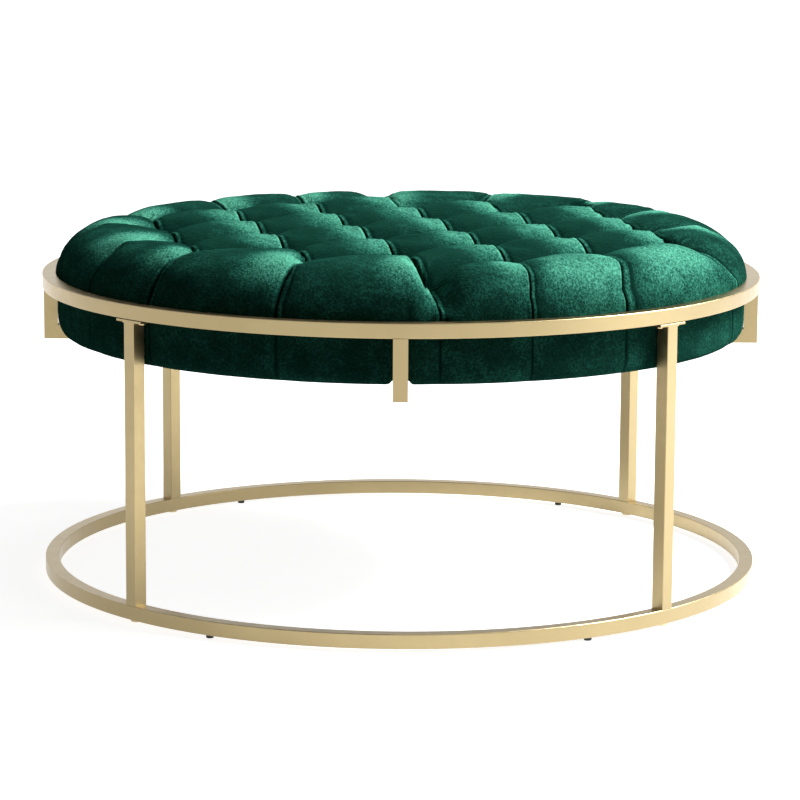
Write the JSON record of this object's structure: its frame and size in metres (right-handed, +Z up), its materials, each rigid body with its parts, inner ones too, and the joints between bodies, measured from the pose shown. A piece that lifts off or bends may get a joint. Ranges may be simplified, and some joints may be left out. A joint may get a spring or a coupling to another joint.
{
  "type": "round ottoman coffee table",
  "caption": "Round ottoman coffee table: a deep-tufted velvet drum cushion hung inside a ring of square metal tube, on straight legs over a matching base ring.",
  "frame": {"origin": "on the floor, under the centre of the rings (bottom centre of the bounding box)", "axes": "+Z up, -Y towards the front hanger, +X to the right seen from the front"},
  "size_m": [0.99, 0.99, 0.4878],
  "materials": {
    "gold_frame": "satin champagne gold powder coat",
    "gold_screw": "gold coated socket screw",
    "zinc_steel": "zinc plated steel",
    "black_glide": "matte black nylon",
    "green_velvet": "deep green crushed velvet",
    "foam": "open cell cushion foam",
    "plywood": "bare plywood",
    "black_cloth": "black non-woven dust cloth",
    "twine": "waxed tufting twine"
  },
  "bodies": {
    "root": {"lower_ring": "gold_frame", "upper_ring": "gold_frame", "leg_front_left": "gold_frame", "leg_front_right": "gold_frame", "leg_back_left": "gold_frame", "leg_back_right": "gold_frame", "leg_plate_front_left": "gold_frame", "leg_plate_front_right": "gold_frame", "leg_plate_back_left": "gold_frame", "leg_plate_back_right": "gold_frame", "glide_front_left": "black_glide", "glide_front_right": "black_glide", "glide_back_left": "black_glide", "glide_back_right": "black_glide", "hanger_front": "gold_frame", "hanger_back": "gold_frame", "hanger_left": "gold_frame", "hanger_right": "gold_frame", "cross_beam": "gold_frame", "cross_beam_left": "gold_frame", "cross_beam_right": "gold_frame", "foot_plugs": "zinc_steel", "leg_bolts": "gold_screw", "plate_screws": "gold_screw", "ring_inserts": "zinc_steel", "tufted_cushion": "green_velvet", "foam_core": "foam", "seat_board": "plywood", "tee_nuts": "zinc_steel", "seat_screws": "gold_screw", "tuft_twines": "twine", "dust_cover": "black_cloth"}
  },
  "joints": []
}
